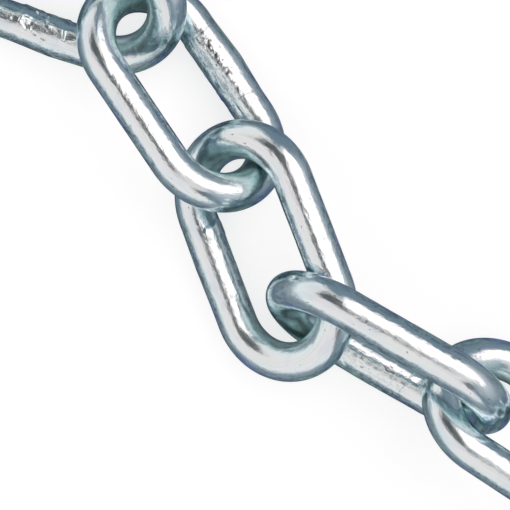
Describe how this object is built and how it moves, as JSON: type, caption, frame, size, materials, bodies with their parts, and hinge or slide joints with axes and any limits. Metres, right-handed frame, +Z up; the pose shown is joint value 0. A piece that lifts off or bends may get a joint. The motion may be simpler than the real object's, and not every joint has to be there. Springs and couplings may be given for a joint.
{
  "type": "length of welded steel chain",
  "caption": "Length of side-welded steel chain with medium-pitch oval links, bright zinc plated, lying loose in a shallow wave.",
  "frame": {"origin": "middle of the chain's box in plan, on the floor it lies on", "axes": "+X along the chain from link_01 to link_26, +Y across it, +Z up from the floor"},
  "size_m": [0.8978, 0.167, 0.031],
  "materials": {
    "zinc_plated_steel": "bright zinc plate with a pale blue cast, semi-gloss, fine drawing lines along the bar"
  },
  "bodies": {
    "link_01": {"link_01": "zinc_plated_steel"},
    "link_02": {"link_02": "zinc_plated_steel"},
    "link_03": {"link_03": "zinc_plated_steel"},
    "link_04": {"link_04": "zinc_plated_steel"},
    "link_05": {"link_05": "zinc_plated_steel"},
    "link_06": {"link_06": "zinc_plated_steel"},
    "link_07": {"link_07": "zinc_plated_steel"},
    "link_08": {"link_08": "zinc_plated_steel"},
    "link_09": {"link_09": "zinc_plated_steel"},
    "link_10": {"link_10": "zinc_plated_steel"},
    "link_11": {"link_11": "zinc_plated_steel"},
    "link_12": {"link_12": "zinc_plated_steel"},
    "link_13": {"link_13": "zinc_plated_steel"},
    "link_14": {"link_14": "zinc_plated_steel"},
    "link_15": {"link_15": "zinc_plated_steel"},
    "link_16": {"link_16": "zinc_plated_steel"},
    "link_17": {"link_17": "zinc_plated_steel"},
    "link_18": {"link_18": "zinc_plated_steel"},
    "link_19": {"link_19": "zinc_plated_steel"},
    "link_20": {"link_20": "zinc_plated_steel"},
    "link_21": {"link_21": "zinc_plated_steel"},
    "link_22": {"link_22": "zinc_plated_steel"},
    "link_23": {"link_23": "zinc_plated_steel"},
    "link_24": {"link_24": "zinc_plated_steel"},
    "link_25": {"link_25": "zinc_plated_steel"},
    "link_26": {"link_26": "zinc_plated_steel"}
  },
  "joints": [
    {"name": "swing_02", "type": "hinge", "parent": "link_01", "child": "link_02", "pos_m": [-0.40328, 0.07277, 0.01115], "axis": [0, 0, 1], "range_deg": [-21, 23]},
    {"name": "swing_03", "type": "hinge", "parent": "link_02", "child": "link_03", "pos_m": [-0.3695, 0.05561, 0.01147], "axis": [0, 0, -1], "range_deg": [-16, 32]},
    {"name": "swing_04", "type": "hinge", "parent": "link_03", "child": "link_04", "pos_m": [-0.34174, 0.03051, 0.01154], "axis": [0, 0, 1], "range_deg": [-11, 9]},
    {"name": "swing_05", "type": "hinge", "parent": "link_04", "child": "link_05", "pos_m": [-0.30828, 0.01364, 0.01172], "axis": [0, 0, -1], "range_deg": [-10, 15]},
    {"name": "swing_06", "type": "hinge", "parent": "link_05", "child": "link_06", "pos_m": [-0.27461, -0.00311, 0.01092], "axis": [0, 0, 1], "range_deg": [-6, 22]},
    {"name": "swing_07", "type": "hinge", "parent": "link_06", "child": "link_07", "pos_m": [-0.24139, -0.01997, 0.01096], "axis": [0, 0, -1], "range_deg": [-26, 19]},
    {"name": "swing_08", "type": "hinge", "parent": "link_07", "child": "link_08", "pos_m": [-0.20441, -0.02739, 0.01144], "axis": [0, 0, 1], "range_deg": [-25, 21]},
    {"name": "swing_09", "type": "hinge", "parent": "link_08", "child": "link_09", "pos_m": [-0.16826, -0.01775, 0.01113], "axis": [0, 0, -1], "range_deg": [-27, 15]},
    {"name": "swing_10", "type": "hinge", "parent": "link_09", "child": "link_10", "pos_m": [-0.13452, -0.00194, 0.01169], "axis": [0, 0, 1], "range_deg": [-12, 17]},
    {"name": "swing_11", "type": "hinge", "parent": "link_10", "child": "link_11", "pos_m": [-0.09879, 0.00959, 0.01143], "axis": [0, 0, -1], "range_deg": [-26, 10]},
    {"name": "swing_12", "type": "hinge", "parent": "link_11", "child": "link_12", "pos_m": [-0.06306, 0.03031, 0.00836], "axis": [0, 0, 1], "range_deg": [-20, 25]},
    {"name": "swing_13", "type": "hinge", "parent": "link_12", "child": "link_13", "pos_m": [-0.0298, 0.02152, 0.01071], "axis": [0, 0, -1], "range_deg": [-17, 33]},
    {"name": "swing_14", "type": "hinge", "parent": "link_13", "child": "link_14", "pos_m": [-0.00393, 0.00965, 0.01878], "axis": [0, 0, 1], "range_deg": [-10, 24]},
    {"name": "swing_15", "type": "hinge", "parent": "link_14", "child": "link_15", "pos_m": [0.02966, 0.01277, 0.0079], "axis": [0, 0, -1], "range_deg": [-2, 22]},
    {"name": "swing_16", "type": "hinge", "parent": "link_15", "child": "link_16", "pos_m": [0.06795, 0.02694, 0.01078], "axis": [0, 0, 1], "range_deg": [-32, 18]},
    {"name": "swing_17", "type": "hinge", "parent": "link_16", "child": "link_17", "pos_m": [0.10495, 0.02371, 0.01115], "axis": [0, 0, -1], "range_deg": [-24, 19]},
    {"name": "swing_18", "type": "hinge", "parent": "link_17", "child": "link_18", "pos_m": [0.13759, 0.00486, 0.01126], "axis": [0, 0, 1], "range_deg": [-30, 14]},
    {"name": "swing_19", "type": "hinge", "parent": "link_18", "child": "link_19", "pos_m": [0.16617, -0.01961, 0.01131], "axis": [0, 0, -1], "range_deg": [-10, 10]},
    {"name": "swing_20", "type": "hinge", "parent": "link_19", "child": "link_20", "pos_m": [0.20067, -0.03426, 0.01169], "axis": [0, 0, 1], "range_deg": [-17, 12]},
    {"name": "swing_21", "type": "hinge", "parent": "link_20", "child": "link_21", "pos_m": [0.23318, -0.05337, 0.0109], "axis": [0, 0, -1], "range_deg": [-31, 6]},
    {"name": "swing_22", "type": "hinge", "parent": "link_21", "child": "link_22", "pos_m": [0.26613, -0.07068, 0.01096], "axis": [0, 0, 1], "range_deg": [-22, 23]},
    {"name": "swing_23", "type": "hinge", "parent": "link_22", "child": "link_23", "pos_m": [0.30342, -0.07645, 0.01144], "axis": [0, 0, -1], "range_deg": [-23, 24]},
    {"name": "swing_24", "type": "hinge", "parent": "link_23", "child": "link_24", "pos_m": [0.33912, -0.06593, 0.01138], "axis": [0, 0, 1], "range_deg": [-13, 28]},
    {"name": "swing_25", "type": "hinge", "parent": "link_24", "child": "link_25", "pos_m": [0.37402, -0.0526, 0.01166], "axis": [0, 0, -1], "range_deg": [-23, 11]},
    {"name": "swing_26", "type": "hinge", "parent": "link_25", "child": "link_26", "pos_m": [0.40991, -0.04097, 0.01111], "axis": [0, 0, 1], "range_deg": [-8, 25]}
  ]
}
